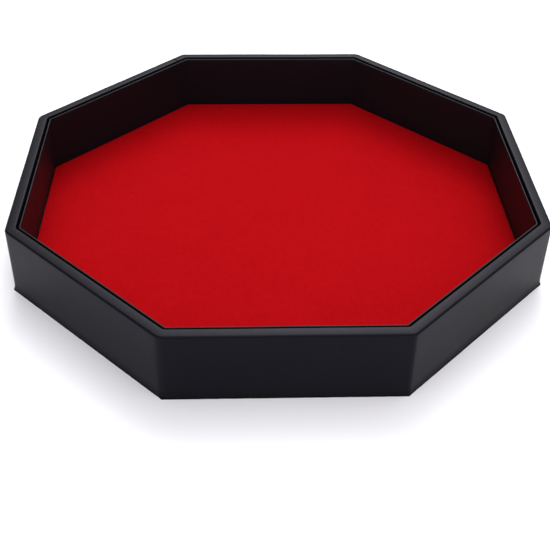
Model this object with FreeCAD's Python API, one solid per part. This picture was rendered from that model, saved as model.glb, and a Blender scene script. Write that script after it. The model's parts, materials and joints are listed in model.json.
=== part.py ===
import FreeCAD, Part
import math
import os

# An octagonal dice tray: a rigid ring of eight mitred wall boards round a base board,
# wrapped outside in leatherette, lined inside with eight thin leaning panels, with a
# velvet pad laid on the bottom and a felt sheet glued underneath.
# Millimetres, +Z up, the origin at the middle of the underside. A flat side faces each
# of +X, +Y, -X and -Y, and an apothem is the distance from the axis to a flat side.

SIDES = 8
HALF_TURN = math.pi / SIDES  # the angle from a side's middle to its corner

# The whole tray
apothem = 150.0
height = 41.5
corner_r = 5.5  # the upright outer corners
rim_r = 1.2  # the outer edge of the rim
lip_r = 0.45  # the inner edge of the rim

# The sheets and boards, by thickness
felt_t = 0.5
felt_proud = 0.5  # how far the felt stands out beyond the walls
wrap_t = 0.5
wall_t = 5.0
base_t = 2.0
turned_in = 12.0  # how far the wrap goes down inside the rim
turned_under = 14.0  # how far the wrap goes in under the base

# The liner, whose panels lean out towards the bottom and stop just below the rim
liner_t = 0.5
liner_skin_t = 0.25
liner_drop = 0.7  # from the rim to the liner's top edge
liner_gap = 1.25  # between the wrap and the liner, at the top
liner_flap = 10.0  # how far the liner's skin goes down behind its panels

# The velvet pad
velvet_t = 0.45
pad_card_t = 0.6
wadding_t = 0.5
velvet_r = 0.4
velvet_flange = 12.0  # how far the velvet is turned under its card
pad_gap = 0.25  # between the pad and the liner
glued_gap = 0.5  # between a turned edge and the flat sheet that fills inside it

# Levels and apothems worked out from those
under_z = felt_t  # the underside of the wrap
base_z = felt_t + wrap_t
board_z = base_z + base_t  # the top of the base board
core_top = height - wrap_t
core_out = apothem - wrap_t
core_in = core_out - wall_t
rim_in = core_in - wrap_t
liner_top = height - liner_drop
liner_out = rim_in - liner_gap  # the liner's outer face at its top edge


def prism(size, z0, z1):
    """An upright octagonal block with sharp corners, of apothem size."""
    radius = size / math.cos(HALF_TURN)
    corners = [
        FreeCAD.Vector(radius * math.cos(angle), radius * math.sin(angle), z0)
        for angle in (HALF_TURN * (2 * k + 1) for k in range(SIDES + 1))
    ]
    return Part.Face(Part.makePolygon(corners)).extrude(FreeCAD.Vector(0, 0, z1 - z0))


def ring(outside, inside, z0, z1):
    """An octagonal band between two apothems."""
    return prism(outside, z0, z1).cut(prism(inside, z0 - 1, z1 + 1))


def edges_at(solid, z, beyond=0.0, within=1e9):
    """The level edges at height z whose middles lie between two distances from the axis."""
    found = []
    for edge in solid.Edges:
        box = edge.BoundBox
        middle = edge.CenterOfMass
        reach = math.hypot(middle.x, middle.y)
        if abs(box.ZMin - z) < 1e-4 and abs(box.ZMax - z) < 1e-4 and beyond < reach < within:
            found.append(edge)
    return found


def rounded_block(size, upright_r, edge_r, z0, z1):
    """An octagonal block with rounded upright corners and a rounded top edge."""
    block = prism(size, z0, z1)
    upright = [e for e in block.Edges if e.BoundBox.ZLength > (z1 - z0) / 2]
    block = block.makeFillet(upright_r, upright)
    return block.makeFillet(edge_r, edges_at(block, z1))


def wedge():
    """The sector round the side that faces +X, bounded by its two mitre planes."""
    reach = 2 * apothem
    half = reach * math.tan(HALF_TURN)
    outline = [(0, 0), (reach, -half), (reach, half), (0, 0)]
    face = Part.Face(Part.makePolygon([FreeCAD.Vector(x, y, -height) for x, y in outline]))
    return face.extrude(FreeCAD.Vector(0, 0, 3 * height))


def mitred_side(profile):
    """One side that faces +X, from a profile of (apothem, height) points, mitred at both ends."""
    points = [FreeCAD.Vector(a, -apothem, z) for a, z in profile + profile[:1]]
    strip = Part.Face(Part.makePolygon(points)).extrude(FreeCAD.Vector(0, 2 * apothem, 0))
    return strip.common(wedge())


def turned(shape, k):
    """A copy of a side, moved round to the k-th place counted anticlockwise from +X."""
    copy = shape.copy()
    copy.rotate(FreeCAD.Vector(0, 0, 0), FreeCAD.Vector(0, 0, 1), 45 * k)
    return copy


def all_round(side):
    """Eight copies of a side joined into one closed band."""
    band = turned(side, 0)
    for k in range(1, SIDES):
        band = band.fuse(turned(side, k))
    return band.removeSplitter()


# The sides, in order from the one that faces +X
SIDE_NAMES = (
    "right", "back_right", "back", "back_left",
    "left", "front_left", "front", "front_right",
)


def wall_core():
    """One wall board: mitred ends, a rounded outer top edge and rounded outer corners."""
    block = rounded_block(core_out, corner_r - wrap_t, rim_r - wrap_t, base_z, core_top)
    return block.cut(prism(core_in, 0, height)).common(wedge())


def outer_wrap():
    """Leatherette round the outside, over the rim, down inside it and in under the base."""
    skin = rounded_block(apothem, corner_r, rim_r, under_z, height)
    skin = skin.cut(rounded_block(core_out, corner_r - wrap_t, rim_r - wrap_t, base_z, core_top))
    skin = skin.cut(prism(rim_in, base_z, height + 1))
    skin = skin.cut(prism(core_out - turned_under, 0, base_z))
    skin = skin.fuse(ring(core_in, rim_in, height - turned_in, core_top)).removeSplitter()
    lip = edges_at(skin, height, within=(rim_in + wrap_t / 2))
    return skin.makeFillet(lip_r, lip)


def lean(z):
    """How far the liner has moved out at height z, from its place at the top."""
    foot = core_in - (liner_out - liner_skin_t)
    panel_top = liner_top - liner_skin_t
    return foot * (panel_top - z) / (panel_top - board_z)


def liner_line(offset, z):
    """A point of the liner's profile, offset inwards from the outer face of its panels."""
    return (liner_out - liner_skin_t - offset + lean(z), z)


def liner_core():
    """One liner panel, standing on the base board and leaning its foot on the wall."""
    top = liner_top - liner_skin_t
    return mitred_side([
        liner_line(0, board_z),
        liner_line(0, top),
        liner_line(liner_t, top),
        liner_line(liner_t, board_z),
    ])


def liner_cover():
    """The liner's skin: down the inside, over the top edge and a little way down behind."""
    panel_top = liner_top - liner_skin_t
    flap_z = panel_top - liner_flap
    front = liner_t + liner_skin_t
    return all_round(mitred_side([
        liner_line(front, board_z),
        liner_line(front, liner_top),
        liner_line(-liner_skin_t, liner_top),
        liner_line(-liner_skin_t, flap_z),
        liner_line(0, flap_z),
        liner_line(0, panel_top),
        liner_line(liner_t, panel_top),
        liner_line(liner_t, board_z),
    ]))


# The pad, from the base board up
card_z = board_z + velvet_t
wadding_z = card_z + pad_card_t
nap_z = wadding_z + wadding_t  # the underside of the velvet
pad_top = nap_z + velvet_t
pad_out = liner_line(liner_t + liner_skin_t, pad_top)[0] - pad_gap
pad_in = pad_out - velvet_t


def velvet_cover():
    """Velvet over the pad, down its edge and turned under its card."""
    cover = prism(pad_out, board_z, pad_top)
    cover = cover.makeFillet(velvet_r, edges_at(cover, pad_top))
    cover = cover.cut(prism(pad_in, card_z, nap_z))
    return cover.cut(prism(pad_out - velvet_flange, 0, card_z))


nodes = {
    "bottom_sheet": prism(apothem + felt_proud, 0, felt_t),
    "levelling_card": prism(core_out - turned_under - glued_gap, felt_t, base_z),
    "base_board": prism(core_in, base_z, board_z),
    "outer_wrap": outer_wrap(),
    "liner_cover": liner_cover(),
    "pad_adhesive": prism(pad_out - velvet_flange - glued_gap, board_z, card_z),
    "pad_card": prism(pad_in, card_z, wadding_z),
    "pad_wadding": prism(pad_in, wadding_z, nap_z),
    "velvet_cover": velvet_cover(),
}
wall = wall_core()
panel = liner_core()
for k, name in enumerate(SIDE_NAMES):
    nodes["wall_core_" + name] = turned(wall, k)
    nodes["liner_core_" + name] = turned(panel, k)

for name, shape in nodes.items():
    shape.exportStep("parts/" + name + ".step")
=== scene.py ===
"""The looks of a rigid octagonal dice tray: leatherette over mitred boards, a thin leaning
liner inside the rim, a velvet pad in the bottom and a felt sheet underneath."""
import json
import math

import bmesh
import bpy
from mathutils import Matrix, Vector, noise


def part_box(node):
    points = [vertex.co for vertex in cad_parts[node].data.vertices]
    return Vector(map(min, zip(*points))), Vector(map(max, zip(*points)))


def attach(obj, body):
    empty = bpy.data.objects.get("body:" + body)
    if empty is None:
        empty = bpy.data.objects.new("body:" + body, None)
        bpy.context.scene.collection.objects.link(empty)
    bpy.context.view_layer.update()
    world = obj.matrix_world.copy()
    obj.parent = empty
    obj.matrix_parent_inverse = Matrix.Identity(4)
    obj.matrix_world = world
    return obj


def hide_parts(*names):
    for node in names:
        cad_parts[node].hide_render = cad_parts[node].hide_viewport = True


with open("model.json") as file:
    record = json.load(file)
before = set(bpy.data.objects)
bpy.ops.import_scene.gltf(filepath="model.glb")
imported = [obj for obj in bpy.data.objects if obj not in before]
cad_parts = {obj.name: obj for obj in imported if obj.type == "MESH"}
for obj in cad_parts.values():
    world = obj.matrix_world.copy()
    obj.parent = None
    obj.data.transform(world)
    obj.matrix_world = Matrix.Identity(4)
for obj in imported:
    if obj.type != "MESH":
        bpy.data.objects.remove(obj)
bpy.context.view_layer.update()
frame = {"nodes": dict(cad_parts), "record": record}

# Lengths below are in millimetres until a mesh or the camera is made.
MM = 0.001
SIDES = 8
TURN = 2 * math.pi / SIDES  # from one side to the next
HALF = TURN / 2


def span(node):
    """The lowest and highest corners of a CAD node, in millimetres."""
    low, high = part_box(node)
    return [v / MM for v in low], [v / MM for v in high]


# ---------------------------------------------------------------- sizes, from the frame
(_, _, UNDER_Z), (APOTHEM, _, RIM_Z) = span("outer_wrap")
(WALL_IN, _, BASE_Z), (WALL_OUT, _, WALL_TOP) = span("wall_core_right")
(PANEL_IN, _, BOARD_Z), (PANEL_FOOT, _, PANEL_TOP) = span("liner_core_right")
_, (_, _, LINER_TOP) = span("liner_cover")
_, (PAD_OUT, _, PAD_TOP) = span("velvet_cover")
_, (FELT_OUT, _, FELT_TOP) = span("bottom_sheet")
(_, _, CARD_TOP), (_, _, NAP_Z) = span("pad_wadding")

WRAP_T = APOTHEM - WALL_OUT
PANEL_T = 0.5  # the liner leans, so its panels' box doesn't give this
SKIN_T = LINER_TOP - PANEL_TOP
VELVET_T = PAD_TOP - NAP_Z
# Radii of the wrap's upright corners, each after the side of its number, counted from the right
# side: the leatherette is pulled round them by hand, so they differ a little
CORNERS_R = (5.5, 6.0, 5.0, 6.5, 5.5, 7.5, 4.0, 5.0)
RIM_R = 1.2  # the rim's outer edge
TURNED_IN = 12.0
TURNED_UNDER = 14.0
LINER_FLAP = 10.0
VELVET_FLANGE = 12.0


# ---------------------------------------------------------------- shapes
def direction(angle):
    return Vector((math.cos(angle), math.sin(angle), 0.0))


def place(side, share, apothem, before, after):
    """A point of a round-cornered octagon and the way it faces.

    share runs from 0 to 1 along the flat of a side and from 1 to 2 round the corner after it.
    before and after are the radii of the corners at the side's two ends."""
    facing = side * TURN
    if share < 1:
        start = (before - apothem) * math.tan(HALF)
        end = (apothem - after) * math.tan(HALF)
        along = direction(facing + math.pi / 2) * (start * (1 - share) + end * share)
        return direction(facing) * apothem + along, direction(facing)
    outward = direction(facing + TURN * (share - 1))
    centre = direction(facing + HALF) * (apothem - after) / math.cos(HALF)
    return centre + outward * after, outward


def columns(flat_steps, corner_steps, extra=()):
    """Where the columns of a ring stand, as (side, share), with extra ones for a seam."""
    found = []
    for side in range(SIDES):
        shares = [i / flat_steps for i in range(flat_steps)]
        shares += [share for where, share in extra if where == side]
        shares = sorted(shares) + [1 + i / corner_steps for i in range(corner_steps)]
        found += [(side, share) for share in shares]
    return found


def line(start, end, steps, normal):
    """Rows of a profile along a straight stretch: (apothem, height, normal), without its end."""
    (a0, z0), (a1, z1) = start, end
    return [
        (a0 + (a1 - a0) * i / steps, z0 + (z1 - z0) * i / steps, normal) for i in range(steps)
    ]


def arc(centre, radius, start, end, steps):
    """Rows of a profile round an arc, angles in degrees, without its end."""
    rows = []
    for i in range(steps):
        angle = math.radians(start + (end - start) * i / steps)
        across, up = math.cos(angle), math.sin(angle)
        rows.append((centre[0] + radius * across, centre[1] + radius * up, (across, up)))
    return rows


def new_object(name, mesh, smooth=True):
    obj = bpy.data.objects.new(name, mesh)
    bpy.context.scene.collection.objects.link(obj)
    for face in mesh.polygons:
        face.use_smooth = smooth
    return obj


def ring(name, rows, stations, corner_at, shift):
    """A closed band round the octagon, swept from a closed profile.

    shift(side, share, point, row) is how far a point moves along its profile's normal."""
    verts, faces = [], []
    for index, (apothem, z, (across, up)) in enumerate(rows):
        for side, share in stations:
            before, after = corner_at(side - 1, apothem, z), corner_at(side, apothem, z)
            point, outward = place(side, share, apothem, before, after)
            point.z = z
            moved = shift(side, share, point, index)
            verts.append((point + outward * across * moved + Vector((0, 0, up * moved))) * MM)
    count = len(stations)
    for i in range(len(rows)):
        j = (i + 1) % len(rows)
        for c in range(count):
            d = (c + 1) % count
            faces.append((i * count + c, i * count + d, j * count + d, j * count + c))
    mesh = bpy.data.meshes.new(name)
    mesh.from_pydata(verts, [], faces)
    mesh.update()
    return new_object(name, mesh)


def face_outwards(obj):
    bm = bmesh.new()
    bm.from_mesh(obj.data)
    bmesh.ops.recalc_face_normals(bm, faces=bm.faces)
    bm.to_mesh(obj.data)
    bm.free()


# ---------------------------------------------------------------- outer wrap
SEAM_SIDE = 3  # the back left
SEAM_SHARE = 0.06
SEAM_COLUMNS = (-3.0, -1.5, -0.9, -0.6, -0.35, -0.15, 0.0, 0.15, 0.35, 0.6, 0.9, 1.5, 3.0)
SEAM_DEPTH, SEAM_WIDTH = 0.30, 0.22
SEAM_RIDGE, RIDGE_AWAY, RIDGE_WIDTH = 0.06, 0.75, 0.4  # the edges stand up a little beside it


def wrap_profile():
    """Round the leatherette once: the side that shows, then the glued side back."""
    inner = WALL_IN - WRAP_T
    hem = RIM_Z - TURNED_IN
    lip = 0.6  # the inner edge of the rim
    foot = 0.35  # the folded bottom edge
    flare = 0.25  # how far that edge stands out
    flare_z = UNDER_Z + 3.0  # where it starts to
    sink = 0.25  # how far the rim's top falls away towards its outer edge
    tilt = 90 - math.degrees(2 * sink / (APOTHEM - RIM_R - inner - lip))
    shoulder = (APOTHEM - RIM_R, RIM_Z - RIM_R - sink)
    shown = []
    shown += line((inner, hem), (inner, RIM_Z - lip), 6, (-1, 0))
    shown += arc((inner + lip, RIM_Z - lip), lip, 180, 90, 7)
    for i in range(10):
        share = i / 10
        crown = (inner + lip) * (1 - share) + (APOTHEM - RIM_R) * share
        shown.append((crown, RIM_Z - sink * share**2, (0, 1)))
    shown += arc(shoulder, RIM_R, tilt, 0, 12)
    shown += line((APOTHEM, shoulder[1]), (APOTHEM, flare_z), 18, (1, 0))
    shown += line((APOTHEM, flare_z), (APOTHEM + flare, UNDER_Z + 2 * foot), 4, (1, 0))
    shown += arc((APOTHEM + flare - foot, UNDER_Z + foot), foot, 30, -90, 6)
    shown += line((APOTHEM - foot, UNDER_Z), (APOTHEM - TURNED_UNDER, UNDER_Z), 6, (0, -1))
    core_r = RIM_R - WRAP_T
    glued = [(APOTHEM - TURNED_UNDER, UNDER_Z, (0, 0)), (APOTHEM - TURNED_UNDER, BASE_Z, (0, 0))]
    glued += line((APOTHEM - TURNED_UNDER + 1, BASE_Z), (WALL_OUT, BASE_Z), 3, (0, 0))
    glued += line((WALL_OUT, BASE_Z), (WALL_OUT, WALL_TOP - core_r), 6, (0, 0))
    glued += [
        (a, z, (0, 0)) for a, z, _ in arc((WALL_OUT - core_r, WALL_TOP - core_r), core_r, 0, 90, 6)
    ]
    glued += line((WALL_OUT - core_r, WALL_TOP), (WALL_IN, WALL_TOP), 3, (0, 0))
    glued += line((WALL_IN, WALL_TOP), (WALL_IN, hem), 3, (0, 0))
    glued += [(WALL_IN, hem, (0, 0))]
    return shown + glued


def wrap_corner(side, apothem, z):
    """The corner radius: soft outside, tighter along the inside of the rim."""
    corner = CORNERS_R[side]
    outside = corner - (APOTHEM - apothem)
    crisp = 3.0
    rim_in = WALL_IN - WRAP_T
    if z > RIM_Z - TURNED_IN - 1 and apothem < APOTHEM - RIM_R:
        reach = max(0.0, (apothem - rim_in) / (APOTHEM - RIM_R - rim_in))
        return crisp + (corner - RIM_R - crisp) * reach**1.4
    return max(outside, crisp)


def outer_wrap():
    rows = wrap_profile()
    flat = 2 * (APOTHEM - CORNERS_R[SEAM_SIDE]) * math.tan(HALF)
    seam = [(SEAM_SIDE, SEAM_SHARE + step / flat) for step in SEAM_COLUMNS]
    seam = [(side, share) for side, share in seam if share > 0.005]
    stations = columns(36, 10, seam)

    def shift(side, share, point, row):
        if rows[row][2] == (0, 0):
            return 0.0
        slow = noise.noise(point / 38.0) * 0.10
        fine = noise.noise(point / 7.0 + Vector((40, 0, 0))) * 0.025
        moved = slow + fine
        if side == SEAM_SIDE:
            off = (share - SEAM_SHARE) * flat
            moved -= SEAM_DEPTH * math.exp(-((off / SEAM_WIDTH) ** 2))
            moved += SEAM_RIDGE * math.exp(-(((abs(off) - RIDGE_AWAY) / RIDGE_WIDTH) ** 2))
        return moved

    obj = ring("outer_wrap_skin", rows, stations, wrap_corner, shift)
    face_outwards(obj)
    return obj


# ---------------------------------------------------------------- liner
def panel_face(offset, z):
    """A point of the leaning liner, offset inwards from the outer face of its panels."""
    top_out = PANEL_IN + PANEL_T
    lean = (PANEL_FOOT - top_out) * (PANEL_TOP - z) / (PANEL_TOP - BOARD_Z)
    return (top_out + lean - offset, z)


def liner_profile():
    front, round_r = PANEL_T + SKIN_T, 0.4
    flap_z = PANEL_TOP - LINER_FLAP
    shown_top = LINER_TOP - round_r
    a_front = panel_face(front, shown_top)[0]
    a_back = panel_face(-SKIN_T, shown_top)[0]
    rows = line(panel_face(front, BOARD_Z), (a_front, shown_top), 16, (-1, 0))
    rows += arc((a_front + round_r, shown_top), round_r, 180, 90, 4)
    rows += line((a_front + round_r, LINER_TOP), (a_back - round_r, LINER_TOP), 3, (0, 1))
    rows += arc((a_back - round_r, shown_top), round_r, 90, 0, 4)
    rows += line((a_back, shown_top), panel_face(-SKIN_T, flap_z), 4, (1, 0))
    glued = [panel_face(-SKIN_T, flap_z), panel_face(0, flap_z)]
    rows += [(a, z, (0, 0)) for a, z in glued]
    rows += line(panel_face(0, flap_z + 1), panel_face(0, PANEL_TOP), 3, (0, 0))
    rows += line(panel_face(0, PANEL_TOP), panel_face(PANEL_T, PANEL_TOP), 2, (0, 0))
    rows += line(panel_face(PANEL_T, PANEL_TOP), panel_face(PANEL_T, BOARD_Z), 8, (0, 0))
    rows += [(*panel_face(PANEL_T, BOARD_Z), (0, 0))]
    return rows


def liner_corner(side, apothem, z):
    return 2.4 + (apothem - PANEL_IN) * 0.1


def liner_skin():
    rows = liner_profile()

    def shift(side, share, point, row):
        if rows[row][2] == (0, 0):
            return 0.0
        height = (point.z - BOARD_Z) / (LINER_TOP - BOARD_Z)
        return noise.noise(point / 45.0 + Vector((0, 90, 0))) * 0.14 * height

    obj = ring("liner_skin", rows, columns(30, 6), liner_corner, shift)
    face_outwards(obj)
    return obj


# ---------------------------------------------------------------- flat cloths
def octagon_sheet(apothem, z, step, corner=0.0):
    """A bmesh grid cut to an octagon."""
    bm = bmesh.new()
    steps = int(2 * apothem / step) + 2
    bmesh.ops.create_grid(bm, x_segments=steps, y_segments=steps, size=apothem * 1.02 * MM)
    bmesh.ops.translate(bm, vec=(0, 0, z * MM), verts=bm.verts)
    for side in range(SIDES):
        out = direction(side * TURN)
        everything = bm.verts[:] + bm.edges[:] + bm.faces[:]
        bmesh.ops.bisect_plane(
            bm, geom=everything, plane_co=out * apothem * MM, plane_no=out, clear_outer=True
        )
        if corner:
            out = direction(side * TURN + HALF)
            near = apothem / math.cos(HALF) - corner
            everything = bm.verts[:] + bm.edges[:] + bm.faces[:]
            bmesh.ops.bisect_plane(
                bm, geom=everything, plane_co=out * near * MM, plane_no=out, clear_outer=True
            )
    bmesh.ops.remove_doubles(bm, verts=bm.verts, dist=0.15 * MM)
    return bm


def ragged_edge(v, point, reach, grain, depth, inset=0.0):
    """Moves a vertex of a cut edge a little out or in."""
    moved = noise.noise(point / grain) * depth - inset
    v.co.x *= 1 + moved / reach
    v.co.y *= 1 + moved / reach


def cloth(name, bm, thickness):
    """An object from a cloth's upper surface, with its thickness below."""
    bmesh.ops.recalc_face_normals(bm, faces=bm.faces)
    if sum(face.normal.z for face in bm.faces) < 0:
        bmesh.ops.reverse_faces(bm, faces=bm.faces)
    mesh = bpy.data.meshes.new(name)
    bm.to_mesh(mesh)
    bm.free()
    obj = new_object(name, mesh)
    shell = obj.modifiers.new("thickness", "SOLIDIFY")
    shell.thickness = thickness * MM
    shell.offset = -1
    return obj


def velvet():
    """Velvet drawn over the pad, rolled over its edge and turned under its card."""
    roll = 1.1  # round the pad's edge
    drop = PAD_TOP - (BOARD_Z + 0.05)  # to just clear of the board
    bm = octagon_sheet(PAD_OUT - roll, PAD_TOP, 2.6, corner=0.35)
    rows = [
        (roll * math.sin(angle), -roll * (1 - math.cos(angle)))
        for angle in (math.radians(15 * i) for i in range(1, 7))
    ]
    rows += [(roll, -drop + 0.25), (roll - 0.25, -drop)]
    rows += [(roll - step, -drop) for step in (3, 6, 9, VELVET_FLANGE)]
    # Each row is joined on by hand, because an extrusion's order changes from run to run
    rim = [tuple(e.verts) for e in bm.edges if e.is_boundary]
    start = {v: v.co.copy() for pair in rim for v in pair}
    above = {v: v for v in start}
    for across, down in rows:
        scale = 1 + across / (PAD_OUT - roll)
        below = {
            v: bm.verts.new((at.x * scale, at.y * scale, at.z + down * MM))
            for v, at in start.items()
        }
        for one, other in rim:
            bm.faces.new((above[one], above[other], below[other], below[one]))
        above = below
    for v in bm.verts:
        point = v.co / MM
        reach = max(abs(point.dot(direction(k * TURN))) for k in range(SIDES))
        if point.z > PAD_TOP - roll * 0.8:
            rest = 1 - max(0.0, (reach - (PAD_OUT - 6)) / 6)
            v.co.z += noise.noise(point / 30.0) * 0.10 * MM * rest
            v.co.z += noise.noise(point / 9.0 + Vector((0, 0, 50))) * 0.03 * MM
    return cloth("velvet_pad_cover", bm, VELVET_T * 0.9)


def felt():
    """The felt sheet under the tray, with a slightly ragged cut edge."""
    bm = octagon_sheet(FELT_OUT, FELT_TOP, 3.2)
    for v in bm.verts:
        if v.is_boundary:
            ragged_edge(v, v.co / MM, FELT_OUT, grain=3.0, depth=0.12, inset=0.06)
    return cloth("felt_underside", bm, FELT_TOP)


def wadding():
    """The thin wadding under the velvet: pressed flat, uneven, with a fluffy cut edge."""
    bm = octagon_sheet(PAD_OUT - VELVET_T - 0.3, NAP_Z - 0.05, 3.6)
    for v in bm.verts:
        point = v.co / MM
        v.co.z -= (0.04 + 0.04 * noise.noise(point / 6.0)) * MM
        if v.is_boundary:
            ragged_edge(v, point, PAD_OUT, grain=2.0, depth=0.25)
    return cloth("wadding_layer", bm, NAP_Z - CARD_TOP - 0.15)


# ---------------------------------------------------------------- materials
class Nodes:
    """A material's nodes, made one line each."""

    def __init__(self, name):
        self.material = bpy.data.materials.new(name)
        self.material.use_nodes = True
        self.tree = self.material.node_tree
        self.shader = self.tree.nodes["Principled BSDF"]
        self.where = self.add("ShaderNodeTexCoord").outputs["Object"]

    def add(self, kind, settings=(), **inputs):
        node = self.tree.nodes.new(kind)
        for key, value in dict(settings).items():
            setattr(node, key, value)
        for key, value in inputs.items():
            self.set(node, key.replace("_", " "), value)
        return node

    def set(self, node, name, value):
        socket = node.inputs[int(name) if name.isdigit() else name]
        if isinstance(value, bpy.types.NodeSocket):
            self.tree.links.new(value, socket)
        else:
            socket.default_value = value

    def noise(self, scale, detail=3.0, roughness=0.5):
        node = self.add("ShaderNodeTexNoise")
        self.set(node, "Vector", self.where)
        self.set(node, "Scale", scale)
        self.set(node, "Detail", detail)
        self.set(node, "Roughness", roughness)
        return node.outputs["Fac"]

    def cells(self, scale, feature="SMOOTH_F1"):
        node = self.add("ShaderNodeTexVoronoi", {"feature": feature})
        self.set(node, "Vector", self.where)
        self.set(node, "Scale", scale)
        return node.outputs["Distance"]

    def ramp(self, value, low, high, to_low, to_high):
        node = self.add("ShaderNodeMapRange")
        for name, number in zip(
            ("Value", "From Min", "From Max", "To Min", "To Max"),
            (value, low, high, to_low, to_high),
        ):
            self.set(node, name, number)
        return node.outputs["Result"]

    def blend(self, share, first, second):
        node = self.add("ShaderNodeMix", {"data_type": "RGBA"})
        self.set(node, "0", share)
        self.set(node, "6", first)
        self.set(node, "7", second)
        return node.outputs[2]

    def sum(self, first, second, operation="ADD"):
        node = self.add("ShaderNodeMath", {"operation": operation})
        self.set(node, "0", first)
        self.set(node, "1", second)
        return node.outputs[0]

    def bump(self, height, strength, distance):
        node = self.add("ShaderNodeBump")
        self.set(node, "Height", height)
        self.set(node, "Strength", strength)
        self.set(node, "Distance", distance)
        return node.outputs["Normal"]

    def finish(self, **sockets):
        for name, value in sockets.items():
            self.set(self.shader, name.replace("_", " "), value)
        return self.material


def leatherette():
    n = Nodes("black_leatherette")
    slow = n.noise(14.0, 2.0)
    grain = n.cells(1500.0)
    pores = n.noise(5200.0, 2.0)
    colour = n.blend(slow, (0.0052, 0.0048, 0.0072, 1), (0.0068, 0.0063, 0.0090, 1))
    rough = n.ramp(n.noise(60.0, 4.0), 0.3, 0.7, 0.27, 0.32)
    height = n.add("ShaderNodeSeparateXYZ", Vector=n.where).outputs["Z"]
    handled = n.ramp(height, (RIM_Z - 1.5) * MM, (RIM_Z - 0.5) * MM, 1.0, 0.72)  # a polished rim
    rough = n.sum(rough, handled, "MULTIPLY")
    relief = n.sum(grain, n.sum(pores, 0.35, "MULTIPLY"))
    normal = n.bump(relief, 0.22, 0.00012)
    n.finish(Base_Color=colour, Roughness=rough, Normal=normal)
    n.shader.inputs["Specular IOR Level"].default_value = 0.055
    n.shader.inputs["Specular Tint"].default_value = (0.85, 0.82, 1.0, 1)
    return n.material


def smooth_leatherette():
    n = Nodes("smooth_leatherette")
    slow = n.noise(9.0, 2.0)
    colour = n.blend(slow, (0.0034, 0.0036, 0.0052, 1), (0.0052, 0.0054, 0.0074, 1))
    rough = n.ramp(n.noise(45.0, 3.0), 0.3, 0.7, 0.42, 0.50)
    normal = n.bump(n.cells(1900.0), 0.08, 0.0001)
    n.finish(Base_Color=colour, Roughness=rough, Normal=normal)
    n.shader.inputs["Specular IOR Level"].default_value = 0.125
    return n.material


def velvet_cloth():
    n = Nodes("red_velvet")
    brushed = n.noise(40.0, 3.0)  # where a hand has stroked the pile
    tufts = n.noise(330.0, 2.0)
    pile = n.noise(1100.0, 2.0)
    share = n.sum(n.sum(brushed, 0.2, "MULTIPLY"), n.sum(tufts, 0.3, "MULTIPLY"))
    share = n.sum(share, n.sum(pile, 0.5, "MULTIPLY"))
    dark, light = (0.318, 0.0014, 0.0031, 1), (0.368, 0.0022, 0.0045, 1)
    colour = n.blend(n.ramp(share, 0.35, 0.65, 0.0, 1.0), dark, light)
    relief = n.sum(n.noise(3200.0, 2.0), pile)
    normal = n.bump(relief, 0.35, 0.0002)
    n.finish(Base_Color=colour, Roughness=0.9, Normal=normal)
    n.shader.inputs["Specular IOR Level"].default_value = 0.02
    n.shader.inputs["Sheen Weight"].default_value = 0.12
    n.shader.inputs["Sheen Roughness"].default_value = 0.4
    n.shader.inputs["Sheen Tint"].default_value = (1.0, 0.03, 0.04, 1)
    return n.material


def felt_cloth():
    n = Nodes("black_felt")
    fibre = n.noise(2600.0, 4.0, 0.7)
    clumps = n.noise(300.0, 3.0)
    colour = n.blend(clumps, (0.003, 0.003, 0.0035, 1), (0.007, 0.007, 0.008, 1))
    normal = n.bump(n.sum(fibre, clumps), 0.6, 0.0003)
    n.finish(Base_Color=colour, Roughness=0.95, Normal=normal)
    n.shader.inputs["Specular IOR Level"].default_value = 0.05
    return n.material


def board(name, dark, light, scale):
    """Fibreboard or grey card: fine random fibres in two tones."""
    n = Nodes(name)
    fibre = n.noise(scale, 5.0, 0.65)
    flecks = n.cells(scale * 0.4, "F1")
    colour = n.blend(n.ramp(n.sum(fibre, flecks), 0.5, 1.3, 0.0, 1.0), dark, light)
    normal = n.bump(fibre, 0.3, 0.0002)
    return n.finish(Base_Color=colour, Roughness=0.88, Normal=normal)


# ---------------------------------------------------------------- the tray
looks = {
    "black_leatherette": leatherette(),
    "smooth_leatherette": smooth_leatherette(),
    "red_velvet": velvet_cloth(),
    "black_felt": felt_cloth(),
    "fibreboard": board("fibreboard", (0.20, 0.12, 0.06, 1), (0.38, 0.25, 0.14, 1), 900.0),
    "grey_card": board("grey_card", (0.17, 0.165, 0.15, 1), (0.34, 0.33, 0.30, 1), 1400.0),
    "white_wadding": board("white_wadding", (0.62, 0.62, 0.6, 1), (0.85, 0.85, 0.83, 1), 700.0),
    "adhesive_tissue": board("adhesive_tissue", (0.6, 0.57, 0.48, 1), (0.74, 0.71, 0.62, 1), 500.0),
}


def add_piece(obj, slot, *nodes):
    """Rides a finished piece on the tray in place of its CAD nodes."""
    obj.data.materials.append(looks[slot])
    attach(obj, "root")
    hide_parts(*nodes)
    return obj


wrap = add_piece(outer_wrap(), "black_leatherette", "outer_wrap")
liner = add_piece(liner_skin(), "smooth_leatherette", "liner_cover")
pad = add_piece(velvet(), "red_velvet", "velvet_cover")
underside = add_piece(felt(), "black_felt", "bottom_sheet")
filling = add_piece(wadding(), "white_wadding", "pad_wadding")

REPLACED = ("outer_wrap", "liner_cover", "velvet_cover", "bottom_sheet", "pad_wadding")
for entry in frame["record"]["subparts"]:
    cad = frame["nodes"][entry["node"]]
    if cad.name in REPLACED:
        continue
    cad.data.materials.clear()
    cad.data.materials.append(looks[entry["material_slot"]])


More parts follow.
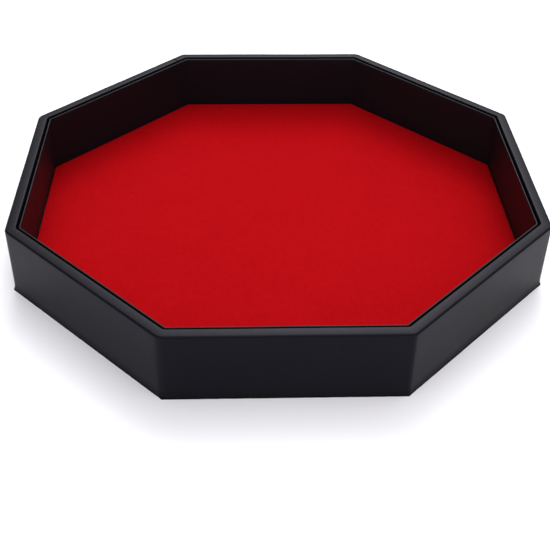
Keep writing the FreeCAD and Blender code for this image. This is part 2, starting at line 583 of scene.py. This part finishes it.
# ---------------------------------------------------------------- stage, light and camera
def stage():
    mesh = bpy.data.meshes.new("floor")
    reach = 6.0  # metres
    mesh.from_pydata(
        [(-reach, -reach, 0), (reach, -reach, 0), (reach, reach, 0), (-reach, reach, 0)],
        [],
        [(0, 1, 2, 3)],
    )
    floor = new_object("floor", mesh, smooth=False)
    n = Nodes("pale_floor")
    n.finish(Base_Color=(0.93, 0.925, 0.94, 1), Roughness=0.9)
    mesh.materials.append(n.material)


# The studio's soft lights: degrees round from +X, degrees up, strength, and how fast the light
# falls off to its sides
SOFT_LIGHTS = (
    (84, 45, 9.5, 26.0),
    (90, 34, 0.6, 9.0),
    (0, 90, 2.0, 9.0),
    (30, 50, 0.9, 9.0),
    (-80, 58, 1.2, 9.0),
    (-135, 6, 2.6, 9.0),
    (-45, 8, 1.9, 9.0),
)
ROOM_LEVEL = 0.06  # the light that comes from everywhere


def studio_sky():
    """Wide soft lights behind, above, high in front and low at the front corners, in a dim room."""
    world = bpy.data.worlds.new("studio")
    world.use_nodes = True
    tree = world.node_tree
    where = tree.nodes.new("ShaderNodeTexCoord").outputs["Generated"]

    def math_node(operation, first, second):
        node = tree.nodes.new("ShaderNodeMath")
        node.operation = operation
        for socket, value in zip(node.inputs, (first, second)):
            if isinstance(value, bpy.types.NodeSocket):
                tree.links.new(value, socket)
            else:
                socket.default_value = value
        return node.outputs["Value"]

    level = ROOM_LEVEL
    for azimuth, elevation, strength, falloff in SOFT_LIGHTS:
        up = math.radians(elevation)
        toward = direction(math.radians(azimuth)) * math.cos(up) + Vector((0, 0, math.sin(up)))
        cosine = tree.nodes.new("ShaderNodeVectorMath")
        cosine.operation = "DOT_PRODUCT"
        cosine.inputs[1].default_value = toward
        tree.links.new(where, cosine.inputs[0])
        fall = math_node("MULTIPLY_ADD", cosine.outputs["Value"], falloff)
        fall.node.inputs[2].default_value = -falloff
        glow = math_node("POWER", math.e, fall)
        level = math_node("ADD", math_node("MULTIPLY", glow, strength), level)
    background = tree.nodes["Background"]
    background.inputs["Color"].default_value = (0.985, 0.975, 1.0, 1)
    tree.links.new(level, background.inputs["Strength"])
    bpy.context.scene.world = world


def camera():
    """From in front and above, turned slightly about its own line of sight."""
    data = bpy.data.cameras.new("camera")
    data.sensor_width = 36.0
    data.lens = 65.76
    data.clip_end = 20.0
    obj = bpy.data.objects.new("camera", data)
    aim = Vector((-2.25, -50.99, 0)) * MM
    azimuth, elevation, roll = math.radians(-2.46), math.radians(38.47), math.radians(1.0)
    distance = 582.7 * MM
    back = Vector((
        math.sin(azimuth) * math.cos(elevation),
        -math.cos(azimuth) * math.cos(elevation),
        math.sin(elevation),
    ))
    right = Vector((math.cos(azimuth), math.sin(azimuth), 0))
    up = back.cross(right)
    turned_right = right * math.cos(roll) + up * math.sin(roll)
    turned_up = up * math.cos(roll) - right * math.sin(roll)
    axes = Matrix((turned_right, turned_up, back)).transposed()
    obj.matrix_world = Matrix.Translation(aim + back * distance) @ axes.to_4x4()
    bpy.context.scene.collection.objects.link(obj)
    bpy.context.scene.camera = obj


stage()
studio_sky()
camera()
bpy.context.scene.view_settings.view_transform = "Standard"
